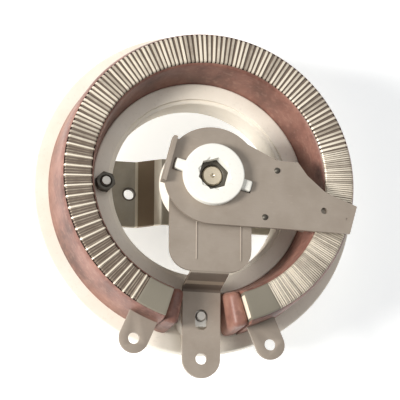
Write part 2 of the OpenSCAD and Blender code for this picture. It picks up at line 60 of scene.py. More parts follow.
FIT = 0.05
SCREW_R = 2.0
SCREW_HOLE_R = SCREW_R + 0.25
CSK_R = 4.0

BASE_R = 0.5 * (high("ceramic_base").x - low("ceramic_base").x)
HOLE_R = 35.0
COLLAR_R = 43.0
LIP_W, LIP_H = 1.6, 1.2
FACE_Z = low("ceramic_base").z
LAND_Z = high("ceramic_base").z
RIM_Z = low("enamel_coat").z
RIM_ROUND = 3.0
PAD_W = 14.6
RECESS_R, RECESS_DEPTH = 3.5, 4.5

COAT_Z = high("enamel_coat").z
COAT_R = high("enamel_coat").x
COAT_T = 1.0
WOUND_Z = low("winding_medium").z
TRACK_Z = high("winding_medium").z
WOUND_OUT = high("winding_medium").y
CORE_OUT = 57.1
CORE_IN = 47.9
WIRE_T = WOUND_OUT - CORE_OUT - FIT
WOUND_IN = CORE_IN - FIT - WIRE_T
CORE_BOTTOM = low("core_former").z
CORE_TOP = high("core_former").z
CAP_Z = TRACK_Z - 4.6
GAP = 17.3
CAP_ARC = 6.3
BAND_ARC = 12.4
WIRE_FROM = GAP + BAND_ARC
COARSE_ARC = 73.0
FINE_ARC = 76.0
COARSE_TURNS, MEDIUM_TURNS, FINE_TURNS = 17, 76, 88
MEDIUM_ARC = 360.0 - 2 * WIRE_FROM - COARSE_ARC - FINE_ARC

LUG_ANGLE = GAP + BAND_ARC / 2
LUG_W, LUG_T, LUG_REACH = 11.8, 1.2, 68.6
LUG_Z = RIM_Z + 15.0
LUG_HOLE_R = 2.25

STRIP_W, STRIP_T = 15.2, 1.5
STRIP_Z = low("centre_terminal").z
STRIP_REACH = STRIP_W / 2 - low("centre_terminal").y - STRIP_W
SCREW_REACH = 52.4
SLOT_W, SLOT_L = 5.0, 8.2
COLLECTOR_Z = high("centre_terminal").z - STRIP_T
COLLECTOR_W = high("centre_terminal").x - low("centre_terminal").x
COLLECTOR_REACH = 37.6
COLLECTOR_ROUND = 9.0
LEG_LEAN = 3.6

BRACKET_W = high("bracket").y - low("bracket").y
BRACKET_T = FACE_Z
BRACKET_R = high("bracket").x
BEND_OUT, BEND_IN = 22.0, 13.0
MIDDLE_Z = high("bracket").z - BRACKET_T
PANEL_X, SCREW_X = 25.0, 38.5
PANEL_HOLE_R = 2.1
NUT_AF, NUT_H, WASHER_T = 7.0, 3.2, 0.9

SHAFT_R = high("shaft").x
SHAFT_TIP = low("shaft").z
SHAFT_END = high("shaft").z
CLIP_Z = low("retaining_clip").z
CLIP_T = 0.8
FLANGE_R, BARREL_R = 7.3, 5.5
FLANGE_Z = low("bushing").z
BUSHING_END = high("bushing").z
EAR_W, EAR_REACH = 3.6, -low("bushing").y

SPRING_R, SPRING_WIRE = 8.5, 1.6
SPRING_LOW, SPRING_HIGH = low("coil_spring").z, high("coil_spring").z
CUP_RIM_Z, CUP_TOP_Z = low("insulating_cup").z, high("insulating_cup").z
CUP_RIM_R = high("insulating_cup").x
CUP_R, CUP_WALL = 13.7, 2.0
CUP_FLOOR_Z, CUP_SOCKET_Z = 31.5, 33.2

HUB_R = 12.1
HUB_TOP, HUB_BOTTOM = high("hub").z, low("hub").z
HUB_BARREL_R, HUB_ROOM = 9.4, 0.5
HUB_AF, SOCKET_DEPTH = 11.5, 8.3
KEY_REACH, KEY_W, KEY_H = 15.8, 4.3, 2.0

ARM_ANGLE = math.radians(-14.5)
ARM_T = 1.5
ARM_Z = high("leaf_spring").z
ARM_L, TIP_W, ROOT_R = 58.8, 11.4, 19.3
TAIL_L, TAIL_LOW, TAIL_HIGH, TAIL_H = 19.2, -8.5, 10.0, 3.4
EAR_IN, EAR_L, EAR_HALF = 38.9, 3.0, 8.77
EAR_BOTTOM = low("wiper_arm").z
RIVET_X, RIVET_Y = 24.3, 9.8
ARM_HOLE_X, ARM_HOLE_R = 46.5, 1.3
WING = [(23.3, 13.7), (31.5, 15.6), (36.5, 11.6), (45.0, 7.4)]
TRACK_R = (CORE_IN + CORE_OUT) / 2


# ---- modelling -----------------------------------------------------------------------------------


def only(piece):
    bpy.ops.object.select_all(action="DESELECT")
    piece.select_set(True)
    bpy.context.view_layer.objects.active = piece


def arc(cx, cy, r, start, end, steps=8):
    """Points along an arc, with its angles in degrees."""
    turns = [math.radians(start + (end - start) * i / steps) for i in range(steps + 1)]
    return [(cx + r * math.cos(t), cy + r * math.sin(t)) for t in turns]


def traced(name, points):
    """A closed outline in the XY plane, drawn by extruding one corner of a plane, and filled."""
    bpy.ops.object.select_all(action="DESELECT")
    bpy.ops.mesh.primitive_plane_add(size=1)
    piece = bpy.context.object
    piece.name = name
    bpy.ops.object.mode_set(mode="EDIT")
    bpy.ops.mesh.select_mode(type="VERT")
    bpy.ops.mesh.select_all(action="DESELECT")
    mesh = bmesh.from_edit_mesh(piece.data)
    for corner in list(mesh.verts)[1:]:
        corner.select_set(True)
    bpy.ops.mesh.delete(type="VERT")
    mesh = bmesh.from_edit_mesh(piece.data)
    mesh.verts.ensure_lookup_table()
    mesh.verts[0].co = Vector((*points[0], 0))
    mesh.verts[0].select_set(True)
    bmesh.update_edit_mesh(piece.data)
    for here, there in zip(points, points[1:] + points[:1]):
        step = (there[0] - here[0], there[1] - here[1], 0)
        bpy.ops.mesh.extrude_vertices_move(TRANSFORM_OT_translate={"value": step})
    bpy.ops.mesh.select_all(action="SELECT")
    bpy.ops.mesh.remove_doubles(threshold=0.001)
    bpy.ops.mesh.edge_face_add()
    bpy.ops.mesh.normals_make_consistent(inside=False)
    bpy.ops.object.mode_set(mode="OBJECT")
    return piece


def finished(piece, kind, **settings):
    """A modifier, added and applied."""
    only(piece)
    modifier = piece.modifiers.new(kind.title(), kind)
    for key, value in settings.items():
        setattr(modifier, key, value)
    bpy.ops.object.modifier_apply(modifier=modifier.name)
    return piece


def placed(piece, at=(0, 0, 0), turn=0.0, about="Z"):
    piece.data.transform(Matrix.Translation(at) @ Matrix.Rotation(turn, 4, about))
    return piece


def plate(name, outline, z, thickness):
    """A flat plate that stands on height z."""
    piece = traced(name, outline)
    bpy.ops.object.mode_set(mode="EDIT")
    bpy.ops.mesh.select_all(action="SELECT")
    bpy.ops.mesh.extrude_region_move(TRANSFORM_OT_translate={"value": (0, 0, thickness)})
    bpy.ops.mesh.select_all(action="SELECT")
    bpy.ops.mesh.normals_make_consistent(inside=False)
    bpy.ops.object.mode_set(mode="OBJECT")
    return placed(piece, (0, 0, z))


def revolved(name, section, steps=160, start=0.0, span=360.0):
    """A section of (radius, height) points spun about the shaft axis, from start and over span."""
    piece = traced(name, section)
    placed(piece, turn=math.pi / 2, about="X")
    placed(piece, turn=math.radians(start))
    only(piece)
    bpy.ops.object.mode_set(mode="EDIT")
    whole = span >= 360.0
    if whole:
        bpy.ops.mesh.select_all(action="SELECT")
        bpy.ops.mesh.delete(type="ONLY_FACE")
    bpy.ops.mesh.select_all(action="SELECT")
    bpy.ops.mesh.spin(steps=steps, angle=math.radians(span), center=(0, 0, 0), axis=(0, 0, -1))
    bpy.ops.mesh.select_all(action="SELECT")
    bpy.ops.mesh.remove_doubles(threshold=0.0005)
    bpy.ops.mesh.normals_make_consistent(inside=False)
    bpy.ops.object.mode_set(mode="OBJECT")
    return piece


def round_bar(name, radius, z, height, at=(0, 0), sides=48):
    bpy.ops.object.select_all(action="DESELECT")
    bpy.ops.mesh.primitive_cylinder_add(
        vertices=sides, radius=radius, depth=height, location=(at[0], at[1], z + height / 2)
    )
    return settled(name)


def block(name, lowest, highest):
    bpy.ops.object.select_all(action="DESELECT")
    middle = [(a + b) / 2 for a, b in zip(lowest, highest)]
    bpy.ops.mesh.primitive_cube_add(size=1, location=middle)
    size = [b - a for a, b in zip(lowest, highest)]
    bpy.context.object.scale = size
    return settled(name)


def settled(name):
    """The new primitive, with its place and size moved into its mesh."""
    piece = bpy.context.object
    piece.name = name
    bpy.ops.object.transform_apply(location=True, rotation=True, scale=True)
    return piece


def combined(piece, tool, operation):
    finished(piece, "BOOLEAN", object=tool, operation=operation, solver="EXACT")
    bpy.data.objects.remove(tool)
    return piece


def cut(piece, tool):
    return combined(piece, tool, "DIFFERENCE")


def added(piece, other):
    return combined(piece, other, "UNION")


def drilled(piece, x, y, radius, z=0.0, height=60.0, sides=40):
    return cut(piece, round_bar("drill", radius, z, height, (x, y), sides))


def eased(piece, width, segments=2, angle=40.0):
    """Small rounds along the sharp edges."""
    return finished(
        piece, "BEVEL", width=width, segments=segments, limit_method="ANGLE",
        angle_limit=math.radians(angle), use_clamp_overlap=True,
    )


def joined(name, pieces):
    bpy.ops.object.select_all(action="DESELECT")
    for piece in pieces:
        piece.select_set(True)
    bpy.context.view_layer.objects.active = pieces[0]
    bpy.ops.object.join()
    pieces[0].name = name
    return pieces[0]


def copied(piece, turn=0.0, at=(0, 0, 0)):
    twin = piece.copy()
    twin.data = piece.data.copy()
    bpy.context.scene.collection.objects.link(twin)
    return placed(twin, at, turn)


def done(piece, material, body, nodes=(), smooth=35.0):
    """Sets a finished piece down in metres, with its finish, its body and the nodes it stands for."""
    piece.data.transform(Matrix.Scale(1 / MM, 4))
    only(piece)
    bpy.ops.object.shade_smooth_by_angle(angle=math.radians(smooth))
    piece.data.materials.clear()
    piece.data.materials.append(material)
    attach(piece, body)
    for node in nodes:
        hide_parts(node)
    return piece


def mitred(line, half, bend):
    """One side of a bent line: its corners moved sideways, and rounded on an inner radius."""
    side = []
    for i, point in enumerate(line):
        here = Vector(point)
        into = (here - Vector(line[i - 1])).normalized() if i else None
        away = (Vector(line[i + 1]) - here).normalized() if i < len(line) - 1 else None
        into, away = into or away, away or into
        across = Vector((-(into + away).y, (into + away).x)) / (1 + into.dot(away))
        corner = here + half * across
        turn = math.atan2(into.x * away.y - into.y * away.x, into.dot(away))
        if abs(turn) < 0.01:
            side.append(tuple(corner))
            continue
        radius = bend + (-half if turn > 0 else half)
        reach = radius * math.tan(abs(turn) / 2)
        centre = corner - into * reach + Vector((-into.y, into.x)) * math.copysign(radius, turn)
        from_angle = math.degrees(math.atan2(into.y, into.x)) - math.copysign(90, turn)
        side += arc(centre.x, centre.y, radius, from_angle, from_angle + math.degrees(turn), 5)
    return side


def bent_strip(name, line, thickness, width, bend):
    """Sheet metal bent along a line of (across, height) points, pointing along X."""
    left = mitred(line, thickness / 2, bend)
    right = mitred(line, -thickness / 2, bend)
    piece = plate(name, left + right[::-1], -width / 2, width)
    return placed(piece, turn=math.pi / 2, about="X")


def hexagon(name, across_flats, z, height):
    return round_bar(name, across_flats / math.sqrt(3), z, height, sides=6)


# ---- finishes ------------------------------------------------------------------------------------


class Socket:
    """A node's output, whose sums and products add Math nodes."""

    def __init__(self, finish, output):
        self.finish, self.output = finish, output

    def maths(self, operation, first, second):
        return self.finish.node("ShaderNodeMath", {"operation": operation}, {0: first, 1: second})

    def __add__(self, other):
        return self.maths("ADD", self, other)

    def __mul__(self, other):
        return self.maths("MULTIPLY", self, other)

    __radd__ = __add__
    __rmul__ = __mul__


class Finish:
    """One material: a Principled shader whose sockets are fed by patterns."""

    def __init__(self, name):
        self.material = bpy.data.materials.new(name)
        self.material.use_nodes = True
        self.tree = self.material.node_tree
        self.shader = self.tree.nodes["Principled BSDF"]
        self.place = self.node("ShaderNodeTexCoord", out="Object")

    def node(self, kind, settings=None, inputs=None, out=0):
        node = self.tree.nodes.new(kind)
        for key, value in (settings or {}).items():
            if key == "stops":
                self.set_stops(node, value)
            else:
                setattr(node, key, value)
        for key, value in (inputs or {}).items():
            self.feed(node.inputs[key], value)
        return Socket(self, node.outputs[out])

    def set_stops(self, node, stops):
        ramp = node.color_ramp
        while len(ramp.elements) < len(stops):
            ramp.elements.new(0.5)
        for element, (position, colour) in zip(ramp.elements, stops):
            element.position = position
            element.color = (*colour, 1) if isinstance(colour, tuple) else (colour,) * 3 + (1,)

    def feed(self, socket, value):
        if isinstance(value, Socket):
            self.tree.links.new(value.output, socket)
        elif isinstance(value, tuple) and len(value) == 3 and socket.type == "RGBA":
            socket.default_value = (*value, 1)
        else:
            socket.default_value = value

    def noise(self, scale, detail=3.0, rough=0.5, stretch=(1, 1, 1), out="Fac"):
        place = self.node("ShaderNodeMapping", None, {"Vector": self.place, "Scale": stretch})
        inputs = {"Vector": place, "Scale": scale, "Detail": detail, "Roughness": rough}
        return self.node("ShaderNodeTexNoise", None, inputs, out)

    def ramp(self, value, *stops):
        return self.node("ShaderNodeValToRGB", {"stops": stops}, {"Fac": value})

    def mix(self, factor, first, second, blend="MIX"):
        settings = {"data_type": "RGBA", "blend_type": blend}
        return self.node("ShaderNodeMix", settings, {0: factor, 6: first, 7: second}, 2)

    def bump(self, height, distance, strength=1.0):
        inputs = {"Height": height, "Distance": distance / MM, "Strength": strength}
        return self.node("ShaderNodeBump", None, inputs)

    def shade(self, **sockets):
        for key, value in sockets.items():
            self.feed(self.shader.inputs[key.replace("_", " ")], value)
        return self.material


def linear(red, green, blue):
    """A colour given as it looks on a screen, from 0 to 255."""
    return tuple(
        (c / 255 / 12.92) if c <= 10 else ((c / 255 + 0.055) / 1.055) ** 2.4 for c in (red, green, blue)
    )


def steatite(name, body, stain):
    """Matt pressed ceramic, with faint stains and a fine grain."""
    f = Finish(name)
    cloud = f.ramp(f.noise(38, 5, 0.6), (0.42, 0.0), (0.72, 1.0))
    speck = f.ramp(f.noise(900, 2, 0.5), (0.60, 0.0), (0.72, 1.0))
    colour = f.mix(cloud * 0.45, body, stain)
    colour = f.mix(speck * 0.16, colour, tuple(c * 0.72 for c in stain))
    grain = f.noise(1500, 3, 0.6) * 0.6 + f.noise(160, 3, 0.6) * 0.8
    return f.shade(
        Base_Color=colour, Roughness=f.noise(120, 2) * 0.15 + 0.60, Normal=f.bump(grain, 0.05, 0.5)
    )


def red_enamel(name):
    """Fired enamel: red-brown, mottled and slightly lumpy, with a gloss that varies from place to
    place.
    """
    f = Finish(name)
    mottle = f.noise(60, 5, 0.62, (1, 1, 0.6))
    colour = f.ramp(
        mottle, (0.30, linear(84, 56, 48)), (0.50, linear(128, 88, 76)), (0.70, linear(154, 112, 97))
    )
    dust = f.ramp(f.noise(420, 3, 0.6), (0.52, 0.0), (0.75, 1.0))
    colour = f.mix(dust * 0.35, colour, linear(176, 140, 124))
    pits = f.ramp(f.noise(700, 2, 0.5), (0.30, 0.0), (0.40, 1.0))
    lumps = f.noise(110, 4, 0.55) * 1.0 + pits * 0.25
    return f.shade(
        Base_Color=colour, Roughness=f.noise(90, 3) * 0.30 + 0.32, Normal=f.bump(lumps, 0.30, 0.55)
    )


def ribbon(name, dull, bright):
    """Worn resistance ribbon: each turn has its own brightness, and rubs dull along its length."""
    f = Finish(name)
    own = f.node("ShaderNodeAttribute", {"attribute_name": "shade"}, None, "Fac")
    patch = f.noise(260, 4, 0.65)
    mixed = f.ramp(own * 0.85 + patch * 0.5, (0.25, 0.0), (0.95, 1.0))
    colour = f.mix(mixed, dull, bright)
    return f.shade(
        Base_Color=colour, Metallic=0.55, Roughness=f.noise(300, 2) * 0.25 + 0.36,
        Normal=f.bump(f.noise(900, 3, 0.6), 0.03, 0.4),
    )


def along(f, axis):
    return f.node("ShaderNodeSeparateXYZ", None, {"Vector": f.place}, axis)


def near(value, middle, reach):
    """1 where a place lies within reach of the middle, both in millimetres."""
    inputs = {0: value, 1: middle / MM, 2: reach / MM}
    return value.finish.node("ShaderNodeMath", {"operation": "COMPARE"}, inputs)


def band_tint(f, colour):
    """The bands round the winding are greyer than their lugs, which lie lower."""
    return f.mix(near(along(f, "Z"), 40, 13) * 0.8, colour, linear(124, 119, 104))


def leg_painted_light(f, colour):
    """Painted shade darkens the leg between the collector and the strip, and a painted highlight runs
    along its bend.
    """
    across = along(f, "Y")
    # Painted shade over the leg.
    colour = f.mix(near(across, -40.6, 2.4) * 0.75, colour, linear(84, 70, 58))
    # Painted highlight: a light line along the leg's bend.
    return f.mix(near(across, -40.4, 0.35) * 0.6, colour, linear(176, 160, 140))


def bracket_painted_light(f, colour):
    """Painted light on the bracket: painted shade on the risers, painted highlights along the bends,
    and a painted shadow ring round each panel hole.
    """
    side = along(f, "X")
    side = side.maths("ABSOLUTE", side, 0.0)
    # Painted shade: the risers between the bends are tinted brown.
    colour = f.mix(near(side, 18.6, 3.0) * 0.7, colour, linear(124, 102, 76))
    # Painted highlights along the outer and the inner bends.
    colour = f.mix(near(side, 22.0, 0.5) * 0.8, colour, linear(222, 214, 196))
    colour = f.mix(near(side, 14.6, 1.3) * 0.8, colour, linear(236, 228, 210))
    # Painted shadow: a dark ring round each panel hole.
    spot = f.node("ShaderNodeCombineXYZ", None, {"X": side, "Y": along(f, "Y")})
    inputs = {0: spot, 1: (PANEL_X / MM, 0, 0)}
    reach = f.node("ShaderNodeVectorMath", {"operation": "DISTANCE"}, inputs, "Value")
    return f.mix(near(reach, PANEL_HOLE_R, 0.7) * 0.8, colour, linear(70, 62, 54))


def sheet_metal(name, tone, stain, metallic=0.6, rough=0.42, marks_and_painted_light=None):
    """Plated sheet with a faint rolled grain and soft stains, and marks of its own, some of which are
    painted shade and painted highlights.
    """
    f = Finish(name)
    grain, tarnish = (60, 900, 60), 0.5
    lines = f.noise(7, 3, 0.6, grain)
    cloud = f.ramp(f.noise(70, 5, 0.62), (0.40, 0.0), (0.75, 1.0))
    scuff = f.ramp(f.noise(240, 4, 0.7, (1, 2.5, 1)), (0.62, 0.0), (0.74, 1.0))
    colour = f.mix(cloud * tarnish, tone, stain)
    colour = f.mix(scuff * 0.25, colour, tuple(min(1.0, c * 1.5) for c in tone))
    colour = f.mix(lines * 0.18, colour, tuple(c * 0.6 for c in tone))
    if marks_and_painted_light:
        colour = marks_and_painted_light(f, colour)
    return f.shade(
        Base_Color=colour, Metallic=metallic, Roughness=lines * 0.16 + cloud * 0.10 + rough,
        Normal=f.bump(lines * 0.6 + scuff * 0.3, 0.02, 0.35),
    )


def carbon_block(name):
    f = Finish(name)
    grain = f.noise(600, 4, 0.7)
    colour = f.ramp(grain, (0.35, linear(46, 42, 40)), (0.7, linear(92, 82, 74)))
    return f.shade(Base_Color=colour, Roughness=0.62, Normal=f.bump(grain, 0.05, 0.4))


CREAM = steatite("cream_steatite", linear(236, 229, 216), linear(214, 202, 183))
CORE_CREAM = steatite("core_steatite", linear(236, 224, 204), linear(212, 196, 172))
WHITE = steatite("white_steatite", linear(236, 234, 226), linear(222, 218, 204))
ENAMEL = red_enamel("red_enamel")
FILL = sheet_metal("dark_fill", linear(116, 102, 90), linear(90, 78, 68), 0.15, 0.55)
WIRE = ribbon("resistance_ribbon", linear(130, 115, 100), linear(238, 227, 208))
PLATED = {"tone": linear(162, 150, 137), "stain": linear(138, 125, 111), "metallic": 0.35}
SHEET = sheet_metal("plated_sheet", **PLATED)
STRIP = sheet_metal("terminal_sheet", marks_and_painted_light=leg_painted_light, **PLATED)
BANDED = sheet_metal("banded_sheet", marks_and_painted_light=band_tint, **PLATED)
ZINC = sheet_metal("zinc_strip", linear(160, 152, 136), linear(132, 123, 104), 0.4, 0.42, bracket_painted_light)
BRIGHT = sheet_metal("bright_fastener", linear(190, 186, 178), linear(160, 152, 142), 0.8, 0.30)
DARK = sheet_metal("dark_fastener", linear(96, 92, 84), linear(72, 66, 58), 0.7, 0.40)
COPPER = sheet_metal("copper_alloy", linear(182, 130, 104), linear(140, 92, 72), 0.8, 0.32)
BRASS = sheet_metal("shaft_metal", linear(202, 190, 168), linear(168, 150, 122), 0.85, 0.24)
SPRING = sheet_metal("spring_steel", linear(124, 116, 106), linear(92, 84, 76), 0.75, 0.35)
CARBON = carbon_block("brush_carbon")


# ---- base side -----------------------------------------------------------------------------------


def ceramic_base():
    soft = 0.7
    section = [(HOLE_R + 0.8, FACE_Z)]
    section += arc(BASE_R - RIM_ROUND, FACE_Z + RIM_ROUND, RIM_ROUND, -90, 0, 10)
    section += arc(BASE_R - soft, RIM_Z - soft, soft, 0, 90, 4)
    section += [(COLLAR_R, RIM_Z)]
    section += arc(COLLAR_R - soft, LAND_Z - soft, soft, 0, 90, 4)
    section += arc(HOLE_R + LIP_W + 0.4, LAND_Z - 0.4, 0.4, 90, 180, 3)
    section += [(HOLE_R + LIP_W, LAND_Z - LIP_H)]
    section += arc(HOLE_R + 0.5, LAND_Z - LIP_H - 0.5, 0.5, 90, 180, 3)
    section += [(HOLE_R, FACE_Z + 0.8)]
    base = revolved("base_ring", section, 240)
    outline = [(-PAD_W / 2, -COLLAR_R + 1)] + arc(0, -SCREW_REACH, PAD_W / 2, 180, 360, 20)
    outline += [(PAD_W / 2, -COLLAR_R + 1)]
    added(base, plate("pad", outline, RIM_Z - 1, LAND_Z - RIM_Z + 1))
    for side in (-1, 1):
        drilled(base, side * SCREW_X, 0, SCREW_HOLE_R)
    drilled(base, 0, -SCREW_REACH, SCREW_HOLE_R)
    drilled(base, 0, -SCREW_REACH, RECESS_R, FACE_Z - 1, RECESS_DEPTH + 1)
    done(base, CREAM, "base", ["ceramic_base"])


def enamel_coat():
    """The fired coat: a bed and two walls round the core, and a lower cap over each of its ends."""
    section = [(COLLAR_R + FIT, RIM_Z + FIT), (COAT_R, RIM_Z + FIT), (COAT_R, COAT_Z - 3.4)]
    section += [(COAT_R - 0.45, COAT_Z - 1.3), (COAT_R - COAT_T + 0.1, COAT_Z - 0.5)]
    section += [(COAT_R - COAT_T, COAT_Z - 0.5), (COAT_R - COAT_T, WOUND_Z)]
    section += [(WOUND_IN - FIT, WOUND_Z), (WOUND_IN - FIT, COAT_Z - 0.3)]
    section += [(WOUND_IN - FIT - 0.4, COAT_Z - 0.6), (WOUND_IN - FIT - COAT_T, COAT_Z - 2.2)]
    section += [(COLLAR_R + 1.6, LAND_Z + 6), (COLLAR_R + FIT, LAND_Z)]
    span = 360 - 2 * GAP
    coat = revolved("enamel_walls", section, 220, GAP - 90, span)
    for side in (-1, 1):
        rotated = side * math.radians(LUG_ANGLE) - math.pi / 2
        window = block(
            "window", (WOUND_OUT - WIRE_T, -LUG_W / 2 - FIT, LUG_Z - FIT),
            (LUG_REACH, LUG_W / 2 + FIT, LUG_Z + LUG_T + FIT),
        )
        cut(coat, placed(window, turn=rotated))
    done(coat, ENAMEL, "base", ["enamel_coat"])
    seam = 0.1
    for side, start in (("right", GAP - CAP_ARC - 90), ("left", seam - GAP - 90)):
        cap = revolved("enamel_cap_" + side, cap_section(), 1, start, CAP_ARC - seam)
        eased(cap, 2.2, 5, 50)
        done(cap, ENAMEL, "base", smooth=60)


def cap_section():
    return [
        (COLLAR_R + FIT, RIM_Z + FIT), (COAT_R, RIM_Z + FIT),
        (COAT_R, CAP_Z), (COLLAR_R + 2.2, CAP_Z), (COLLAR_R + FIT, LAND_Z),
    ]


def core_room():
    """The core's section and the gap round it."""
    return [
        (CORE_IN - FIT, CORE_BOTTOM - FIT), (CORE_OUT + FIT, CORE_BOTTOM - FIT),
        (CORE_OUT + FIT, CORE_TOP + FIT), (CORE_IN - FIT, CORE_TOP + FIT),
    ]


def turn_fill():
    """Fill between the turns, just under the wiped track, round the ceramic core."""
    deep = WIRE_T * 0.5
    outer = [(WOUND_IN + deep, WOUND_Z + deep), (WOUND_OUT - deep, WOUND_Z + deep)]
    outer += [(WOUND_OUT - deep, TRACK_Z - deep), (WOUND_IN + deep, TRACK_Z - deep)]
    fill = revolved("turn_fill", outer, 200, WIRE_FROM - 90, 360 - 2 * WIRE_FROM)
    cut(fill, revolved("hollow", core_room(), 200, WIRE_FROM - 91, 362 - 2 * WIRE_FROM))
    done(fill, FILL, "base")


def turn(width, thickness):
    """One closed turn of ribbon round the core, pointing along +X."""
    r = 0.9
    x0, x1 = CORE_IN - FIT - thickness, CORE_OUT + FIT + thickness
    z0, z1 = CORE_BOTTOM - FIT - thickness, CORE_TOP + FIT + thickness
    outline = arc(x0 + r, z0 + r, r, 180, 270, 3) + arc(x1 - r, z0 + r, r, 270, 360, 3)
    outline += arc(x1 - r, z1 - r, r, 0, 90, 3) + arc(x0 + r, z1 - r, r, 90, 180, 3)
    piece = traced("turn", outline)
    bpy.ops.object.mode_set(mode="EDIT")
    bpy.ops.mesh.select_all(action="SELECT")
    bpy.ops.mesh.inset(thickness=thickness)
    bpy.ops.mesh.delete(type="FACE")
    bpy.ops.object.mode_set(mode="OBJECT")
    placed(piece, turn=math.pi / 2, about="X")
    finished(piece, "SOLIDIFY", thickness=width, offset=0)
    return eased(piece, min(width, thickness) * 0.28, 1, 50)


def wound(name, node, start, span, turns, width, shades, rng, thickness=WIRE_T):
    """A section of the winding: copies of one turn, each a little off true and with its own shade."""
    first = turn(width, thickness)
    step = span / turns
    pieces = []
    for i in range(turns):
        wander = rng.uniform(-0.07, 0.07) * step
        angle = math.radians(start - 90 + (i + 0.5) * step + wander)
        twin = copied(first, angle)
        shade = twin.data.attributes.new("shade", "FLOAT", "POINT")
        tone = shades(i, rng)
        shade.data.foreach_set("value", [tone] * len(twin.data.vertices))
        pieces.append(twin)
    bpy.data.objects.remove(first)
    return done(joined(name, pieces), WIRE, "base", node)


def windings():
    rng = random.Random(7)
    wound("coarse_turns", ["winding_coarse"], -WIRE_FROM - COARSE_ARC, COARSE_ARC, COARSE_TURNS, 0.65,
          lambda i, r: r.uniform(0.85, 1.0), rng)
    # The thinner turns between the coarse ones get dark shades: painted shade between the bright turns,
    # and their own darker oxide.
    wound("coarse_between", [], -WIRE_FROM - COARSE_ARC, COARSE_ARC, 4 * COARSE_TURNS, 0.5,
          lambda i, r: r.uniform(0.0, 0.22), rng, WIRE_T * 0.78)
    wound("middle_turns", ["winding_medium"], WIRE_FROM + FINE_ARC, MEDIUM_ARC, MEDIUM_TURNS, 0.9,
          lambda i, r: r.uniform(0.25, 1.0), rng)
    wound("fine_turns", ["winding_fine"], WIRE_FROM, FINE_ARC, FINE_TURNS, 0.56,
          lambda i, r: r.uniform(0.35, 1.0), rng)


def end_terminal(side, label):
    """A band round the end of the winding, with a solder lug that comes out through the coat."""
    start = GAP if side > 0 else -GAP - BAND_ARC
    soft = 0.6
    outer = arc(WOUND_OUT - soft, TRACK_Z - soft, soft, 0, 90, 3)
    outer += arc(WOUND_IN + soft, TRACK_Z - soft, soft, 90, 180, 3)
    outer += [(WOUND_IN, WOUND_Z), (WOUND_OUT, WOUND_Z)]
    band = revolved("band_" + label, outer, 12, start - 90, BAND_ARC)
    cut(band, revolved("hollow", core_room(), 16, start - 92, BAND_ARC + 4))
    root = WOUND_OUT - WIRE_T * 0.6
    outline = [(root, LUG_W / 2), (root, -LUG_W / 2)] + arc(LUG_REACH, 0, LUG_W / 2, -90, 90, 24)
    lug = plate("lug_" + label, outline, LUG_Z, LUG_T)
    drilled(lug, LUG_REACH, 0, LUG_HOLE_R)
    placed(lug, turn=side * math.radians(LUG_ANGLE) - math.pi / 2)
    added(band, lug)
    eased(band, 0.18, 2)
    done(band, BANDED, "base", ["end_terminal_" + label])


def collector_outline():
    w, r, reach = COLLECTOR_W / 2, COLLECTOR_ROUND, COLLECTOR_REACH
    outline = arc(0, 0, w, 0, 180, 32)
    outline += arc(r - w, r - reach, r, 180, 270, 10)
    outline += arc(w - r, r - reach, r, 270, 360, 10)
    return outline


def centre_terminal():
    """Collector plate, leg and terminal strip, bent from one sheet."""
    middle = STRIP_Z + STRIP_T / 2
    foot = COLLECTOR_REACH + LEG_LEAN
    top = COLLECTOR_Z + STRIP_T / 2
    line = [(COLLECTOR_REACH - 6, top), (COLLECTOR_REACH, top), (foot, middle), (STRIP_REACH, middle)]
    strip = bent_strip("centre_strip", line, STRIP_T, STRIP_W, 1.6)
    placed(strip, turn=-math.pi / 2)
    added(strip, round_bar("strip_end", STRIP_W / 2, STRIP_Z, STRIP_T, (0, -STRIP_REACH), 64))
    plate_piece = plate("collector", collector_outline(), COLLECTOR_Z, STRIP_T)
    for x in (-5.5, 12.2):
        rib = round_bar("rib", 0.4, -33, 15, sides=12)
        placed(rib, turn=-math.pi / 2, about="X")
        added(plate_piece, placed(rib, (x, 0, COLLECTOR_Z + STRIP_T - 0.15)))
    added(strip, plate_piece)
    drilled(strip, 0, 0, HUB_BARREL_R + HUB_ROOM, sides=96)
    drilled(strip, 0, -STRIP_REACH, LUG_HOLE_R)
    run = SLOT_L - SLOT_W
    slot = arc(0, -SCREW_REACH, SLOT_W / 2, 0, 180, 16)
    slot += arc(0, -SCREW_REACH - run, SLOT_W / 2, 180, 360, 16)
    cut(strip, plate("slot", slot, STRIP_Z - 2, STRIP_T + 4))
    eased(strip, 0.16, 2)
    done(strip, STRIP, "base", ["centre_terminal"])


def threaded_bar(name, radius, bottom, top, pitch=0.7):
    """A bar with thread ridges and a chamfered end, as a section to spin."""
    section = [(0.0, bottom), (radius, bottom)]
    depth = 0.14 * radius
    z = bottom + pitch
    while z < top - 1.5 * pitch:
        section += [(radius, z), (radius - depth, z + pitch / 2)]
        z += pitch
    section += [(radius, z), (radius - 0.35, top), (0.0, top)]
    return revolved(name, section, 32)


def centre_screw():
    head_h, slot_half, slot_depth = 2.6, 0.5, 0.9
    z = FACE_Z + RECESS_DEPTH - head_h
    screw = threaded_bar("terminal_screw", SCREW_R, z, high("centre_screw").z)
    head = round_bar("head", RECESS_R - 0.2, z, head_h)
    eased(head, 0.3)
    cut(head, block("slot", (-5, -slot_half, z - 1), (5, slot_half, z + slot_depth)))
    added(screw, head)
    placed(screw, (0, -SCREW_REACH, 0))
    done(screw, BRIGHT, "base", ["centre_screw"])


